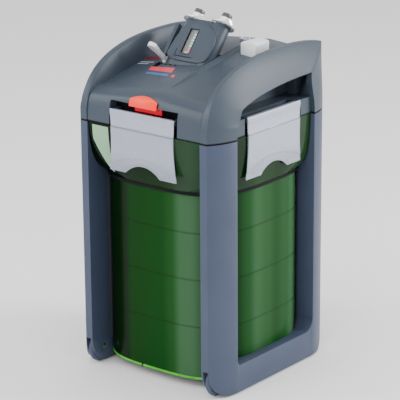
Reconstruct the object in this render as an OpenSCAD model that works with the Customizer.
// Canister filter for a large aquarium: see-through tank between two side frames on
// rollers, pump head with carrying arches, clips, hose adapter and priming button.
// The origin is on the floor under the middle of the tank. Front is -Y.

/* [Side frames] */
// Half width over the outer faces of the side frames
frame_x = 138; // [137:0.5:140]
// Half depth over the front strips of the posts
frame_y = 141; // [140.5:0.5:142]
// Distance of a post's inner face from the middle plane
post_in_x = 106; // [105.5:0.5:107]
// Half width of the window between the posts
window_y = 94.5; // [93:0.5:95]
// Height of the bottom bar's upper edge
bar_top_z = 45; // [43:1:48]
// Clearance between the bottom bar and the floor
bar_low_z = 3; // [2:0.5:4]

/* [Rollers] */
// Roller radius
roller_r = 25; // [24:0.5:25]
// Roller width
roller_w = 9; // [8:0.5:9]
// Distance of the roller axes from the middle plane
roller_y = 113.5; // [112:0.5:114]
// Axle radius
axle_r = 4; // [3.5:0.5:4.5]

/* [Tank] */
// Half width of the tank at the middle of a face
tank_a = 122; // [120:0.5:122]
// Squareness of the tank's plan, 2 is round
tank_n = 3.4; // [3:0.1:3.4]
// Height of the tank's underside
tank_low_z = 15; // [15:0.5:16]
// Height where the flared collar starts
collar_low_z = 306; // [304:1:308]
// Wall thickness of the tank
tank_wall = 3; // [2.5:0.5:3]
// Height of the joint between tank and head
seam_z = 390; // [388:1:392]

/* [Head] */
// Highest point of the carrying arches
arch_top_z = 498; // [496:1:500]
// Half depth of the head cover
cover_y = 140; // [139:0.5:140]
// Wall thickness of the head mouldings
shell = 3; // [2.5:0.5:3]

/* [Clips] */
// Height of the clip's hinge pin
pin_z = 411; // [410.5:0.5:411]
// Radius of the clip's hinge pin
pin_r = 2; // [1.5:0.5:2]

/* [Adapter] */
// Sideways place of the adapter
adapter_x = -20; // [-20:0.5:-19]
// Backward tilt of the adapter from upright, in degrees
adapter_tilt = 40; // [39:0.5:41]
// Half distance between the two hose spigots
spigot_gap = 26; // [26:0.5:26.5]
// Radius of the hose spigots
spigot_r = 8; // [7.5:0.5:8.5]

/* [Hidden] */
$fn = 64;
eps = 0.01;

frame_blue = [0.36, 0.40, 0.48];
head_grey = [0.36, 0.40, 0.45];
clip_silver = [0.70, 0.72, 0.76];
tank_green = [0.05, 0.35, 0.12, 0.8];

// Plan points of a square with bulged faces and round corners
function plan(a, b, n, m = 72) = [
    for (i = [0 : m - 1])
        let (c = cos(360 * i / m), s = sin(360 * i / m))
        [a * sign(c) * pow(abs(c), 2 / n), b * sign(s) * pow(abs(s), 2 / n)]
];
// Points on an arc, seen from its centre
function arc(cx, cy, r, a0, a1, m = 10) =
    [for (i = [0 : m]) let (a = a0 + (a1 - a0) * i / m) [cx + r * cos(a), cy + r * sin(a)]];
function mirror_x(points) = [for (i = [len(points) - 1 : -1 : 0]) [-points[i][0], points[i][1]]];
function mirror_y(points) = [for (i = [len(points) - 1 : -1 : 0]) [points[i][0], -points[i][1]]];
function at_z(points, z) = [for (p = points) [p[0], p[1], z]];

// Closed solid through a list of rings with the same number of points
module loft(rings) {
    n = len(rings[0]);
    last = (len(rings) - 1) * n;
    sides = [
        for (k = [0 : len(rings) - 2], i = [0 : n - 1])
            let (j = (i + 1) % n, low = k * n, high = low + n)
            each [[low + i, high + i, high + j], [low + i, high + j, low + j]]
    ];
    polyhedron(
        points = [for (r = rings) each r],
        faces = concat(
            [[for (i = [0 : n - 1]) i]],
            sides,
            [[for (i = [n - 1 : -1 : 0]) last + i]]
        )
    );
}
// Upright prism with the tank's plan
module tank_prism(a, z0, z1) {
    translate([0, 0, z0])
        linear_extrude(z1 - z0)
        polygon(plan(a, a, tank_n));
}
// Outline in Y and Z, drawn out along X
module along_x(x0, x1) {
    translate([x0, 0, 0])
        rotate([90, 0, 90])
        linear_extrude(x1 - x0)
        children();
}
// Cylinder along X
module rod_x(x0, x1, y, z, r) {
    translate([x0, y, z])
        rotate([0, 90, 0])
        cylinder(h = x1 - x0, r = r);
}
module box(low, high) {
    translate(low) cube(high - low);
}
module on_both_sides() {
    children();
    mirror([1, 0, 0]) children();
}
module front_and_rear() {
    children();
    mirror([0, 1, 0]) children();
}

// ---- tank ----
floor_t = 4;
module tank() {
    color(tank_green)
    difference() {
        tank_prism(tank_a, tank_low_z, collar_low_z);
        tank_prism(tank_a - tank_wall, tank_low_z + floor_t, collar_low_z + 1);
    }
}

collar_top_z = seam_z - 1;
collar_steps = 8;
// Plan of the collar's outside: u is 0 at its foot and 1 at its top
function collar_ring(u, inset) =
    let (
        z = collar_low_z + u * (collar_top_z - collar_low_z),
        g = 1 - pow(1 - u, 1.9),
        a = tank_a + 3 + 6 * g - inset,
        b = tank_a + 3 + 15 * g - inset
    )
    at_z(plan(a, b, tank_n + 9 * g), z);
neck_a = 103.3;
keeper_z = 333;
keeper_t = 5;
module post_spaces(gap) {
    for (sx = [-1, 1], sy = [-1, 1])
        translate([sx * (post_in_x - gap + 30), sy * (window_y - gap + 30), 200])
        cube([60, 60, 500], center = true);
}
module tank_collar() {
    color(tank_green)
    difference() {
        union() {
            difference() {
                loft([for (i = [0 : collar_steps]) collar_ring(i / collar_steps, 0)]);
                difference() {
                    loft([
                        for (i = [0 : collar_steps - 1])
                            collar_ring(0.08 + i * 0.86 / (collar_steps - 1), tank_wall)
                    ]);
                    post_spaces(0.6 + tank_wall);
                }
            }
            for (a = [0, 180])
                rotate(a) keeper(tank_a + 9, tank_a + 16);
            for (a = [90, 270])
                rotate(a) keeper(tank_a + 4.5, tank_a + 9);
        }
        post_spaces(0.6);
        tank_prism(tank_a - tank_wall, collar_low_z - 1, collar_low_z + 8);
        translate([0, 0, collar_top_z - 12])
            linear_extrude(20)
            polygon(plan(neck_a, neck_a, base_n));
    }
}
keeper_w = 116;
// Rib that a clip's hook catches under
module keeper(y0, y1) {
    box([-keeper_w / 2, -y1, keeper_z], [keeper_w / 2, -y0, keeper_z + keeper_t]);
}

// ---- side frames ----
outer_r = 88;
outer_c = [frame_x - 87.6, -85.9];
strip_x = 119;
corner_y = 32;
corner_z = 41;
window_r = 8;
window_rear_r = 20;
post_arc = arc(outer_c[0], outer_c[1], outer_r, -38.7, -5.6);
module frame_plan() {
    polygon(concat(
        [[post_in_x, -frame_y], [strip_x, -frame_y]], post_arc,
        mirror_y(post_arc), [[strip_x, frame_y], [post_in_x, frame_y]]
    ));
}
module frame_side() {
    y0 = frame_y - corner_y;
    z0 = bar_low_z + corner_z;
    corner = [for (a = [0 : 10 : 90]) [-y0 - corner_y * cos(a), z0 - corner_z * sin(a)]];
    difference() {
        polygon(concat(
            [[-frame_y, seam_z - 1]], corner,
            mirror_x(corner), [[frame_y, seam_z - 1]]
        ));
        translate([-window_y + window_r, bar_top_z + window_r]) circle(r = window_r);
        translate([window_y - window_rear_r, bar_top_z + window_rear_r]) circle(r = window_rear_r);
        translate([-window_y, bar_top_z + window_r]) square([2 * window_y - window_rear_r, 400]);
        translate([0, bar_top_z + window_rear_r]) square([window_y, 400]);
        translate([-window_y + window_r, bar_top_z])
            square([2 * window_y - window_r - window_rear_r, 2 * window_r]);
    }
}
roller_z = roller_r;
roller_x = 114;
pocket_w = roller_w + 1;
pocket_r = roller_r + 2;
axle_end_x = 127;
screw_y = [-66, -54, 54, 66];
module side_frame() {
    difference() {
        intersection() {
            linear_extrude(seam_z) frame_plan();
            along_x(100, 150) frame_side();
        }
        tank_prism(tank_a + 0.5, tank_low_z - 0.05, seam_z + 10);
        front_and_rear() {
            rod_x(roller_x - pocket_w / 2, roller_x + pocket_w / 2, -roller_y, roller_z, pocket_r);
            box(
                [roller_x - pocket_w / 2, -frame_y - 10, -1],
                [roller_x + pocket_w / 2, -roller_y, bar_low_z + corner_z]
            );
            box(
                [roller_x - pocket_w / 2, -roller_y - 10, -1],
                [roller_x + pocket_w / 2, -roller_y + pocket_r, roller_z]
            );
            rod_x(100, axle_end_x, -roller_y, roller_z, axle_r);
            box(
                [post_in_x + 4, -frame_y + 10, bar_top_z + 20],
                [frame_x - 16, -window_y - 4, seam_z + 1]
            );
        }
        for (y = screw_y)
            rod_x(100, post_in_x + 14, y, rail_z, screw_r);
    }
}
module side_frame_right() {
    color(frame_blue) side_frame();
}
module side_frame_left() {
    color(frame_blue) mirror([1, 0, 0]) side_frame();
}
rail_z = 9;
rail_h = 11;
rail_y = 60;
rail_w = 34;
screw_r = 2;
// Cross rail under the tank, screwed to both frames
module base_rail() {
    difference() {
        box(
            [-post_in_x, rail_y - rail_w / 2, tank_low_z - rail_h],
            [post_in_x, rail_y + rail_w / 2, tank_low_z]
        );
        box(
            [-post_in_x + 22, rail_y - rail_w / 2 + 4, tank_low_z - rail_h - 1],
            [post_in_x - 22, rail_y + rail_w / 2 - 4, tank_low_z - 2]
        );
        on_both_sides()
            for (y = [54, 66])
                rod_x(post_in_x - 30, post_in_x + 1, y, rail_z, screw_r);
    }
}
module base_rail_front() {
    color("dimgray") mirror([0, 1, 0]) base_rail();
}
module base_rail_rear() {
    color("dimgray") base_rail();
}
// Eight screws, each through a rail's end into a frame
module frame_screws() {
    color("silver")
    on_both_sides()
        for (y = screw_y) {
            rod_x(post_in_x - 21.8, post_in_x + 13, y, rail_z, screw_r - eps);
            rod_x(post_in_x - 24, post_in_x - 22, y, rail_z, 3.6);
        }
}

// ---- rollers ----
tread_round = 2.5;
module roller(sx, sy) {
    color("darkslategray")
    translate([sx * roller_x, sy * roller_y, roller_z])
        rotate([0, 90, 0])
        rotate_extrude()
        difference() {
            translate([axle_r + 0.06, -roller_w / 2])
                square([roller_r - axle_r - 0.06, roller_w]);
            for (s = [-1, 1])
                translate([roller_r, s * roller_w / 2]) rotate(45)
                    square(tread_round * 1.41, center = true);
            for (s = [-1, 1])
                translate([12, s * roller_w / 2]) square([12, 3], center = true);
        }
}
module roller_front_left() { roller(-1, -1); }
module roller_front_right() { roller(1, -1); }
module roller_rear_left() { roller(-1, 1); }
module roller_rear_right() { roller(1, 1); }
module roller_axles() {
    color("silver")
    on_both_sides() front_and_rear()
        rod_x(post_in_x + 0.5, axle_end_x, -roller_y, roller_z, axle_r);
}

// ---- head ----
crown_y = 60;
arch_power = 2.6;
// Height of an arch's crest
function arch_z(y) = y < crown_y
    ? seam_z + (arch_top_z - seam_z)
        * pow(1 - pow(min(1, (crown_y - y) / (crown_y + frame_y)), arch_power), 1 / arch_power)
    : arch_top_z - 0.0014 * pow(y - crown_y, 2);
// Height of the grip opening's upper edge
lip_low_z = 417;
lip_high_z = 454;
function lip_z(y) =
    lip_low_z + (lip_high_z - lip_low_z) * sqrt(max(0, 1 - pow((88 - y) / (88 + window_y), 2)));
shoulder_y = -105;
shoulder_z = 449.5;
slope = 0.19;
slope_end_y = 50;
// Height of the head cover's top
function cover_z(y) =
    y < shoulder_y
    ? seam_z + (shoulder_z - seam_z)
        * pow(1 - pow((shoulder_y - y) / (cover_y + shoulder_y), 3.2), 1 / 3.2)
    : shoulder_z + slope * (y - shoulder_y) - 0.00212 * pow(max(0, y - slope_end_y), 2);

// One ring of an arch: crest edge, strip edge, inner wall, underside, grip lip
function leg_ring(s, z) = [
    [frame_x, s * window_y, z],
    [(frame_x + strip_x) / 2 + 3.2, s * (window_y + frame_y) / 2 * 1.012, z],
    [strip_x, s * frame_y, z],
    [post_in_x + 2, s * frame_y, z],
    [post_in_x, s * (frame_y - 4), z],
    [post_in_x, s * (window_y + 14), z],
    [post_in_x + 2, s * (window_y + 4), z],
    [post_in_x + 8, s * window_y, z]
];
function top_ring(yc, yw, crest_z, low_z, roof_z) = [
    [frame_x - 1.5, yw, low_z],
    [frame_x - 7.5, (yc + yw) / 2, (crest_z + low_z) / 2 + 3],
    [strip_x - 2, yc, crest_z],
    [post_in_x + 2, yc, crest_z - 3],
    [post_in_x, yc * 0.985, roof_z - 1],
    [post_in_x, yc * 0.97, roof_z - 12],
    [post_in_x + 6, (yc + yw) / 2, (crest_z + low_z) / 2 - 2],
    [frame_x - 11, yw, low_z]
];
crest_steps = 14;
module arch() {
    loft(concat(
        [leg_ring(1, seam_z + 0.2), leg_ring(1, lip_low_z - 3)],
        [
            for (i = [crest_steps : -1 : 1])
                let (
                    u = i / crest_steps,
                    yc = -frame_y + 1 + (2 * frame_y - 1.6) * pow(u, 1.35),
                    yw = -window_y + 2 + (window_y + 86) * pow(u, 1.1)
                )
                top_ring(yc, yw, arch_z(yc), lip_z(yw), min(cover_z(yc) - 4, arch_z(yc) - 6))
        ],
        [leg_ring(-1, lip_low_z - 8), leg_ring(-1, seam_z + 0.2)]
    ));
}
module arch_right() {
    color(head_grey) arch();
}
module arch_left() {
    color(head_grey) mirror([1, 0, 0]) arch();
}

cover_x = 106;
side_x = 131;
side_top_z = 415;
side_y = 93;
grip_in_x = 88;
slot_x = 64;
slot_top_z = 427;
ridge_x = 21;
crown = 4.6;
// Height and depth outline of the cover, lowered by drop
function cover_outline(drop) = concat(
    [[-cover_y, 340]],
    [
        for (i = [0 : 24])
            let (y = -cover_y + 2 * cover_y * pow(i / 24, 1.8))
            [y, cover_z(y) - drop]
    ],
    [[cover_y, 340]]
);
// The top falls gently to both sides of a ridge
module cover_solid(drop, low, high) {
    intersection() {
        translate([ridge_x, 0, seam_z]) rotate([0, crown, 0])
            along_x(-200, 200) translate([0, -seam_z]) polygon(cover_outline(drop));
        translate([ridge_x, 0, seam_z]) rotate([0, -crown, 0])
            along_x(-200, 200) translate([0, -seam_z]) polygon(cover_outline(drop));
        box(low, high);
    }
}
module head_cover() {
    color(head_grey) {
        difference() {
            union() {
                cover_solid(0, [-cover_x, -cover_y, seam_z], [cover_x, cover_y, 500]);
                box([-side_x, 2.5 - side_y, seam_z], [side_x, side_y, side_top_z]);
            }
            difference() {
                cover_solid(
                    shell + 0.6,
                    [-grip_in_x + shell, -cover_y + shell, seam_z - 1],
                    [grip_in_x - shell, cover_y - shell, 500]
                );
                front_and_rear()
                    box(
                        [-slot_x - shell, -cover_y, seam_z - 2],
                        [slot_x + shell, -slot_in_y + shell, slot_top_z + shell]
                    );
            }
            on_both_sides() {
                cover_solid(7, [grip_in_x, -side_y + 5, side_top_z], [160, 88, 500]);
                box([grip_in_x, -side_y + 4, seam_z - 1], [side_in_x - shell, side_y - 4, side_top_z - 4]);
                box([side_in_x, -slot_side, seam_z - 1], [160, slot_side, side_top_z + 1]);
            }
            front_and_rear()
                box([-slot_x, -cover_y - 1, seam_z - 1], [slot_x, -slot_in_y, slot_top_z]);
            box(
                [-catch_half - 1, -cover_y - 1, slot_top_z - 1],
                [catch_half + 1, -slot_in_y, slot_top_z + 6]
            );
            adapter_place()
                recess_prism(0.5, 66, 90);
            lever_slot();
            box(
                [button_low[0] - 1, button_low[1] - 1, 440],
                [button_high[0] + 1, button_high[1] + 1, 520]
            );
            translate([vent_at[0], vent_at[1], 450]) cylinder(h = 60, r = vent_r);
            translate([gland_x, 100, gland_z]) rotate([-90, 0, 0]) cylinder(h = 60, r = gland_r);
        }
        clip_ears();
    }
}
pin_front_y = 136;
pin_side_x = 127;
slot_in_y = 122;
side_in_x = 113;
slot_side = 68;
ear_w = 5;
ear_r = 4;
// Pairs of ears that carry the clips' hinge pins
module ear_pair(y, half, reach) {
    for (s = [-1, 1])
        difference() {
            union() {
                rod_x(s * half - ear_w / 2, s * half + ear_w / 2, -y, pin_z, ear_r);
                box(
                    [s * half - ear_w / 2, -y, pin_z - ear_r],
                    [s * half + ear_w / 2, -reach, pin_z + ear_r]
                );
            }
            rod_x(-half - 9, half + 9, -y, pin_z, pin_r);
        }
}
ear_front = 57;
ear_side = 61;
module clip_ears() {
    front_and_rear() ear_pair(pin_front_y, ear_front, slot_in_y - 1);
    for (a = [90, 270]) rotate(a) ear_pair(pin_side_x, ear_side, side_in_x - 1);
}
module clip_pins() {
    color("silver") {
        front_and_rear()
            rod_x(-ear_front - 2.5, ear_front + 2.5, -pin_front_y, pin_z, pin_r);
        for (a = [90, 270]) rotate(a)
            rod_x(-ear_side - 2.5, ear_side + 2.5, -pin_side_x, pin_z, pin_r);
    }
}

// ---- clips ----
clip_top_z = 416;
clip_low_z = 323;
clip_t = 3;
waist = 3;
function clip_edge(half) = [
    for (i = [0 : 10])
        let (u = i / 10)
        [half + 2.5 * (1 - u) - waist * sin(180 * u), clip_low_z + (clip_top_z - clip_low_z) * u]
];
// Clip seen from the front: half is half its width, face its outer face
module clip(half, face, pin, hook) {
    barrel = half - 7;
    difference() {
        union() {
            translate([0, -face + clip_t, 0]) rotate([90, 0, 0])
                linear_extrude(clip_t)
                polygon(concat(clip_edge(half), mirror_x(clip_edge(half))));
            rod_x(-barrel, barrel, -pin, pin_z, ear_r);
            box([-barrel, -face + 1, pin_z - 3], [barrel, -pin, pin_z + 3]);
            // hook that catches under the tank's keeper
            for (s = [-1, 1])
                box(
                    [s * 42 - 8, -face + clip_t - 1, keeper_z - 4.6],
                    [s * 42 + 8, -face + clip_t + hook, keeper_z - 0.6]
                );
        }
        translate([0, -face - 5, clip_low_z - 30]) rotate([-90, 0, 0])
            cylinder(h = 20, r = 44);
        rod_x(-200, 200, -pin, pin_z, pin_r + 0.06);
    }
}
front_face = 143.5;
side_face = 134.8;
clip_half = 60.5;
module clip_front() {
    color(clip_silver) clip(clip_half, front_face, pin_front_y, 5.5);
}
module clip_rear() {
    color(clip_silver) mirror([0, 1, 0]) clip(clip_half, front_face, pin_front_y, 5.5);
}
module clip_right() {
    color(clip_silver) rotate(90) clip(clip_half + 4, side_face, pin_side_x, 2.8);
}
module clip_left() {
    color(clip_silver) rotate(270) clip(clip_half + 4, side_face, pin_side_x, 2.8);
}
catch_half = 25.5;
catch_low_z = 424.5;
catch_high_z = 441;
tongue_y = 126.5;
// Safety catch: a pad on the head's shoulder with a tongue down into the slot
module safety_catch() {
    color("orangered") intersection() {
        along_x(-catch_half, catch_half)
            polygon(concat(
                [for (z = [catch_low_z : 1.5 : catch_high_z]) [-shoulder_at(z) - 2.2, z]],
                [for (z = [catch_high_z : -1.5 : slot_top_z]) [-shoulder_at(z) - 0.3, z]],
                [
                    [-tongue_y + 2, slot_top_z - 0.3], [-tongue_y + 2, slot_top_z - 12.5],
                    [-tongue_y, slot_top_z - 12.5], [-tongue_y, catch_low_z]
                ]
            ));
        translate([0, 0, catch_high_z - 60]) rotate([90, 0, 0])
            cylinder(h = 200, r = 60);
    }
}
// How far out the cover's front shoulder stands at a height
function shoulder_at(z) =
    -shoulder_y + (cover_y + shoulder_y)
        * pow(1 - pow(max(0, (z - seam_z) / (shoulder_z - seam_z)), 3.2), 1 / 3.2);

// ---- head base and pump ----
base_n = 6;
base_a = 100;
motor_at = [50, -46];
well_r = 12.8;
well_top_z = 436;
chamber_r = 26;
chamber_low_z = 358;
module at_motor() {
    translate([motor_at[0], motor_at[1], 0]) children();
}
module head_base() {
    color("dimgray")
    difference() {
        union() {
            translate([0, 0, seam_z - 5])
                linear_extrude(4.8)
                polygon(plan(neck_a - 0.3, neck_a - 0.3, base_n));
            translate([0, 0, seam_z - 1]) linear_extrude(1) polygon(plan(neck_a + 2, neck_a + 2, base_n));
            translate([0, 0, seam_z - 16]) linear_extrude(12) polygon(plan(base_a, base_a, base_n));
            at_motor() {
                translate([0, 0, seam_z - 6]) cylinder(h = well_top_z - seam_z + 6, r = well_r);
                translate([0, 0, chamber_low_z]) cylinder(h = 30, r = chamber_r);
            }
            for (x = socket_x)
                translate([x, port_y, seam_z - 24]) cylinder(h = 24, r = 12);
        }
        difference() {
            translate([0, 0, seam_z - 17]) linear_extrude(12) polygon(plan(base_a - 4, base_a - 4, base_n));
            at_motor() translate([0, 0, 300]) cylinder(h = 100, r = chamber_r);
            for (x = socket_x) translate([x, port_y, 300]) cylinder(h = 100, r = 12);
        }
        at_motor() {
            translate([0, 0, 340]) cylinder(h = well_top_z - 340 - 6, r = well_r - 1.5);
            translate([0, 0, 340]) cylinder(h = well_top_z - 340 - 2, r = 5);
            translate([0, 0, 340]) cylinder(h = seam_z - 6 - 340, r = chamber_r - 3);
        }
        for (x = socket_x) translate([x, port_y, 340]) cylinder(h = 60, r = 9);
    }
}
module head_seal() {
    color([0.1, 0.1, 0.1])
    difference() {
        translate([0, 0, seam_z - 13]) linear_extrude(6) polygon(plan(neck_a - 0.2, neck_a - 0.2, base_n));
        translate([0, 0, seam_z - 14]) linear_extrude(8) polygon(plan(base_a + 0.1, base_a + 0.1, base_n));
    }
}
module motor_block() {
    color([0.15, 0.15, 0.17])
    difference() {
        at_motor() translate([0, 0, seam_z]) {
            cylinder(h = 46, r = 30);
            box([-24, -24, 0], [24, 24, 40]);
        }
        at_motor() translate([0, 0, 300]) cylinder(h = well_top_z + 0.5 - 300, r = well_r + 0.2);
    }
}
shaft_r = 1.5;
module rotor_magnet() {
    color([0.2, 0.2, 0.22])
    at_motor() difference() {
        translate([0, 0, 386]) cylinder(h = 40, r = 10.6);
        translate([0, 0, 300]) cylinder(h = 200, r = shaft_r + 0.06);
    }
}
blades = 6;
module impeller() {
    color("ivory")
    at_motor() difference() {
        union() {
            translate([0, 0, 364]) cylinder(h = 22, r = 5);
            translate([0, 0, 380]) cylinder(h = 2, r = 20);
            for (i = [0 : blades - 1])
                rotate(360 * i / blades) box([-0.8, 0, 366], [0.8, 20, 380.5]);
        }
        translate([0, 0, 300]) cylinder(h = 200, r = shaft_r + 0.06);
    }
}
module pump_shaft() {
    color("white")
    at_motor() translate([0, 0, 357]) cylinder(h = 76, r = shaft_r);
}
module bush(z) {
    color([0.08, 0.08, 0.08])
    at_motor() difference() {
        translate([0, 0, z]) cylinder(h = 5.5, r = 4.9);
        translate([0, 0, z - 1]) cylinder(h = 8, r = shaft_r);
    }
}
module bush_upper() { bush(well_top_z - 8); }
module bush_lower() { bush(356); }
module pump_lid() {
    color("dimgray")
    at_motor() difference() {
        translate([0, 0, 354]) union() {
            cylinder(h = 4, r = chamber_r);
            cylinder(h = 8, r = 7.5);
        }
        translate([0, 0, 355.9]) cylinder(h = 20, r = 4.9);
        for (a = [0 : 60 : 300])
            rotate(a) translate([15, 0, 350]) cylinder(h = 20, r = 5);
    }
}
gland_x = 58;
gland_z = 446;
gland_r = 7;
module cord_gland() {
    color([0.08, 0.08, 0.08])
    translate([gland_x, cover_y - 12, gland_z]) rotate([-90, 0, 0]) difference() {
        union() {
            cylinder(h = 14.5, r = gland_r);
            translate([0, 0, 12.2]) cylinder(h = 2.8, r = gland_r + 3);
        }
        translate([0, 0, -1]) cylinder(h = 20, r = 3.5);
    }
}
vent_at = [10, 92];
vent_r = 6;
module vent_cap() {
    color(clip_silver)
    translate([vent_at[0], vent_at[1], 0]) difference() {
        union() {
            translate([0, 0, 474]) cylinder(h = 12, r = vent_r - 0.2);
            translate([0, 0, 483.6]) cylinder(h = 4, r = vent_r + 2.5);
        }
        translate([0, 0, 486]) cylinder(h = 3, r = vent_r);
    }
}

// ---- priming button ----
button_low = [39, 42, 470];
button_high = [67, 76, 497];
button_at = [53, 59];
piston_r = 12;
spring_low_z = 400;
spring_top_z = 440;
module at_button() {
    translate([button_at[0], button_at[1], 0]) children();
}
module priming_button() {
    color(clip_silver)
    difference() {
        intersection() {
            box(button_low, button_high);
            translate([button_at[0], button_low[1] - 1, button_high[2] - 30]) rotate([-90, 0, 0])
                cylinder(h = 60, r = 30);
        }
        box(button_low + [shell, shell, -1], button_high - [shell, shell, 8]);
    }
}
module priming_piston() {
    color("ivory")
    at_button() union() {
        translate([0, 0, spring_top_z]) cylinder(h = 10, r = piston_r);
        translate([0, 0, spring_top_z + 10]) cylinder(h = 39, r = 5);
    }
}
module piston_seal() {
    color([0.08, 0.08, 0.08])
    at_button() rotate_extrude()
        translate([piston_r, spring_top_z + 3.5]) square([0.75, 3]);
}
module priming_cylinder() {
    color("dimgray")
    at_button() difference() {
        translate([0, 0, seam_z]) cylinder(h = 66, r = 16);
        translate([0, 0, spring_low_z]) cylinder(h = 100, r = piston_r + 0.8);
        translate([0, 0, seam_z - 1]) cylinder(h = 100, r = 6);
    }
}
turns = 6;
turn_steps = 12;
spring_r = 9;
wire_r = 0.9;
wire_sides = 6;
module priming_spring() {
    pitch = (spring_top_z - spring_low_z - 2 * wire_r - 0.2) / turns;
    color("silver")
    at_button() loft([
        for (i = [0 : turns * turn_steps])
            let (a = 360 * i / turn_steps, z = spring_low_z + wire_r + 0.1 + pitch * i / turn_steps)
            [
                for (k = [0 : wire_sides - 1])
                    let (b = -360 * k / wire_sides, r = spring_r + wire_r * cos(b))
                    [r * cos(a), r * sin(a), z + wire_r * sin(b)]
            ]
    ]);
}

// ---- adapter ----
// Middle of the face plate; from here +Z runs up along the plate and +Y behind it
plate_at = [adapter_x, 9.8, 495.5];
pipe_y = 12;
pipe_r = 13;
stub_r = 10.9;
bore_r = 5.5;
valve_z = -36;
housing_low = -46;
plate_top = 33.9;
module adapter_place() {
    translate(plate_at) rotate([-adapter_tilt, 0, 0]) children();
}
module adapter_rod(x, z0, z1, r) {
    translate([x, pipe_y, z0]) cylinder(h = z1 - z0, r = r);
}
module recess_prism(gap, down, up) {
    translate([0, 0, -down]) linear_extrude(down + up)
        polygon([
            [-57 - gap, 8 - gap], [-33 - gap, -0.6 - gap], [34 + gap, -0.6 - gap],
            [40.5 + gap, 6], [40.5 + gap, 26 + gap], [-57 - gap, 26 + gap]
        ]);
}
lever_x = -46;
lever_w = 6;
// Room in the head cover for the lever's swing
module lever_slot() {
    box(
        [adapter_x + lever_x - lever_w / 2 - 1.5, -34, 450],
        [adapter_x + lever_x + lever_w / 2 + 1.5, 24, 520]
    );
}
module adapter_body() {
    color(head_grey)
    adapter_place() difference() {
        union() {
            // face plate with round top corners
            intersection() {
                box([-32, 0, housing_low], [33, 22, plate_top]);
                rotate([-90, 0, 0]) union() {
                    translate([0, 2, -1]) cylinder(h = 40, r = 39);
                    box([-40, 0, -1], [40, 60, 40]);
                }
            }
            // left flank around the lever
            intersection() {
                box([-56, 8, housing_low], [-30, 25, 26]);
                rotate([-90, 0, 0]) translate([-30, 4, -1]) cylinder(h = 40, r = 50);
            }
            for (x = [-spigot_gap, spigot_gap]) {
                adapter_rod(x, housing_low, 34, pipe_r);
                adapter_rod(x, -62, housing_low + 1, stub_r);
            }
        }
        for (x = [-spigot_gap, spigot_gap]) {
            adapter_rod(x, -70, 60, bore_r);
            adapter_rod(x, -70, valve_z, 8.4);
            translate([x, pipe_y, valve_z]) sphere(r = ball_r + 0.3);
        }
        translate([-60, pipe_y, valve_z]) rotate([0, 90, 0])
            cylinder(h = 60 + spigot_gap + 6, r = spindle_r + 0.06);
        // slot for the lever
        box([lever_x - lever_w / 2 - 0.6, 2, valve_z - 12], [lever_x + lever_w / 2 + 0.6, 19.5, 30]);
        // channel of the flow window
        box(
            [window_x - window_w / 2, -1, window_low],
            [window_x + window_w / 2, window_deep, window_high]
        );
    }
}
ball_r = 8;
spindle_r = 2.5;
module valve_ball(x) {
    color("ivory")
    adapter_place() translate([x, pipe_y, valve_z]) difference() {
        sphere(r = ball_r);
        rotate([30, 0, 0]) translate([0, 0, -20]) cylinder(h = 40, r = 4.5);
        translate([-20, 0, 0]) rotate([0, 90, 0]) cylinder(h = 40, r = spindle_r);
    }
}
module valve_ball_left() { valve_ball(-spigot_gap); }
module valve_ball_right() { valve_ball(spigot_gap); }
module valve_spindle() {
    color("silver")
    adapter_place() translate([lever_x + lever_w / 2, pipe_y, valve_z]) rotate([0, 90, 0])
        cylinder(h = spigot_gap + 5 - lever_x - lever_w / 2, r = spindle_r);
}
lever_angle = 48.4;
lever_len = 50;
paddle_w = 14;
module flow_lever() {
    color(clip_silver)
    adapter_place() translate([lever_x, pipe_y, valve_z])
        rotate([adapter_tilt + lever_angle, 0, 0]) {
            rotate([0, 90, 0]) cylinder(h = lever_w, r = 6, center = true);
            box([-lever_w / 2, -3, 0], [lever_w / 2, 3, lever_len - 26]);
            translate([0, 3, lever_len - 20]) rotate([90, 0, 0]) linear_extrude(6) hull() {
                translate([0, 13]) circle(r = paddle_w / 2);
                translate([0, -8]) circle(r = lever_w / 2);
            }
        }
}
window_x = -8;
window_w = 15;
window_low = -25;
window_high = 16;
window_deep = 8;
module flow_scale() {
    color("seagreen")
    adapter_place()
        box(
            [window_x + 1, window_deep - 1, window_low + 0.3],
            [window_x + window_w / 2 - 0.3, window_deep - eps, window_high - 0.3]
        );
}
module flow_window() {
    color([0.7, 0.8, 0.8, 0.4])
    adapter_place()
        box(
            [window_x - window_w / 2 + 0.05, 0.3, window_low + 0.05],
            [window_x + window_w / 2 - 0.05, 1.6, window_high - 0.05]
        );
}
float_r = 2.6;
module float_ball() {
    color("white")
    adapter_place() translate([window_x - 3, 4.6, window_low + float_r + 0.3]) sphere(r = float_r);
}
module adapter_rings() {
    color([0.08, 0.08, 0.08])
    adapter_place()
        for (x = [-spigot_gap, spigot_gap])
            translate([x, pipe_y, -56]) rotate_extrude()
                translate([stub_r, 0]) square([0.5, 2.4]);
}
seat_low = -64;
module adapter_seat() {
    color("dimgray")
    difference() {
        union() {
            adapter_place() intersection() {
                box([-40, -1, seat_low], [40.5, 26, housing_low - 0.4]);
                recess_prism(-0.3, -seat_low, housing_low);
            }
            for (x = socket_x)
                translate([x, port_y, seam_z]) cylinder(h = port_top - seam_z, r = 12);
        }
        adapter_place()
            for (x = [-spigot_gap, spigot_gap])
                adapter_rod(x, seat_low + 1, 0, stub_r + 0.55);
        for (x = socket_x)
            translate([x, port_y, seam_z - 1]) cylinder(h = port_top - seam_z + 6, r = 9);
    }
}
socket_x = [adapter_x - spigot_gap, adapter_x + spigot_gap];
port_y = -25;
port_top = 440;
module lobe_plan(r, neck) {
    for (x = [-spigot_gap, spigot_gap]) translate([x, 0]) circle(r = r);
    square([2 * spigot_gap, 2 * neck], center = true);
}
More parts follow.
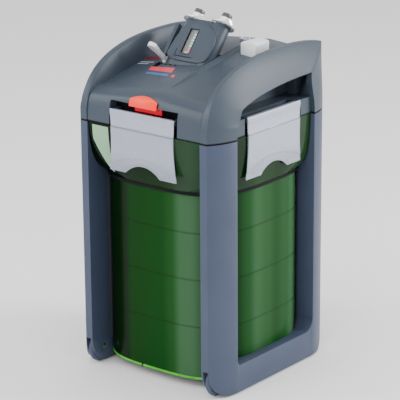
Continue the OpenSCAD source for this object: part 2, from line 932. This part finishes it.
module hose_connector() {
    color([0.85, 0.87, 0.9])
    adapter_place() translate([0, pipe_y, 0]) difference() {
        union() {
            translate([0, 0, 34]) linear_extrude(5) lobe_plan(19, 12);
            translate([0, 0, 38]) linear_extrude(5) lobe_plan(16, 8);
            for (x = [-spigot_gap, spigot_gap])
                translate([x, 0, 42]) cylinder(h = 4, r = 11);
        }
        for (x = [-spigot_gap, spigot_gap])
            translate([x, 0, 0]) cylinder(h = 100, r = spigot_r - 1.5);
        box([-40, -pipe_y - 10, 30], [40, -pipe_y + 0.4, plate_top + 0.3]);
    }
}
spigot_top = 54;
module hose_spigot(x) {
    color([0.25, 0.27, 0.3])
    adapter_place() difference() {
        union() {
            adapter_rod(x, 46, spigot_top, spigot_r);
            adapter_rod(x, 34.2, 47, spigot_r - 1.5);
        }
        adapter_rod(x, 30, spigot_top + 1, bore_r);
    }
}
module hose_spigot_left() { hose_spigot(-spigot_gap); }
module hose_spigot_right() { hose_spigot(spigot_gap); }

// ---- filter media ----
riser_at = [socket_x[0], port_y];
riser_r = 8.8;
module riser_tube() {
    color("dimgray")
    translate([riser_at[0], riser_at[1], 0]) difference() {
        translate([0, 0, tank_low_z + floor_t + 1]) cylinder(h = 352, r = riser_r);
        translate([0, 0, 0]) cylinder(h = 400, r = riser_r - 2);
        for (z = [24 : 8 : 48])
            box([-20, -2, z], [20, 2, z + 4]);
    }
}
basket_a = 116;
basket_wall = 2.5;
stack_z = [25.5, 98, 170.5, 243];
basket_h = 72.5;
module at_riser(z) {
    translate([riser_at[0], riser_at[1], z]) children();
}
module basket(z) {
    difference() {
        union() {
            difference() {
                tank_prism(basket_a, z, z + basket_h);
                tank_prism(basket_a - basket_wall, z + 3, z + basket_h + 1);
                for (x = [-72 : 24 : 72], y = [-72 : 24 : 72])
                    box([x - 8, y - 8, z - 1], [x + 8, y + 8, z + 4]);
            }
            at_riser(z) cylinder(h = basket_h, r = riser_r + 4);
        }
        at_riser(z - 1) cylinder(h = 100, r = riser_r + 2);
    }
}
module filling(z0, z1) {
    difference() {
        tank_prism(basket_a - basket_wall - 1, z0, z1);
        at_riser(z0 - 1) cylinder(h = z1 - z0 + 2, r = riser_r + 5);
    }
}
module basket_lower() { color("darkgreen") basket(stack_z[0]); }
module basket_middle() { color("darkgreen") basket(stack_z[1]); }
module basket_upper() { color("darkgreen") basket(stack_z[2]); }
module prefilter_basket() { color("darkgreen") basket(stack_z[3]); }
module media_lower() { color("beige") filling(stack_z[0] + 3.2, stack_z[0] + 66); }
module media_middle() { color("tan") filling(stack_z[1] + 3.2, stack_z[1] + 66); }
module media_upper() { color("rosybrown") filling(stack_z[2] + 3.2, stack_z[2] + 50); }
module fine_pad() { color("white") filling(stack_z[2] + 51, stack_z[2] + 66); }
module coarse_foam() { color("royalblue") filling(stack_z[3] + 3.2, stack_z[3] + 40); }

tank();
tank_collar();
side_frame_left();
side_frame_right();
base_rail_front();
base_rail_rear();
roller_front_left();
roller_front_right();
roller_rear_left();
roller_rear_right();
roller_axles();
frame_screws();
head_cover();
arch_left();
arch_right();
head_base();
head_seal();
clip_front();
clip_rear();
clip_left();
clip_right();
clip_pins();
safety_catch();
adapter_body();
adapter_seat();
adapter_rings();
hose_connector();
hose_spigot_left();
hose_spigot_right();
valve_ball_left();
valve_ball_right();
valve_spindle();
flow_lever();
flow_scale();
flow_window();
float_ball();
priming_button();
priming_piston();
piston_seal();
priming_spring();
priming_cylinder();
vent_cap();
motor_block();
rotor_magnet();
impeller();
pump_shaft();
bush_upper();
bush_lower();
pump_lid();
cord_gland();
riser_tube();
prefilter_basket();
coarse_foam();
fine_pad();
basket_lower();
basket_middle();
basket_upper();
media_lower();
media_middle();
media_upper();
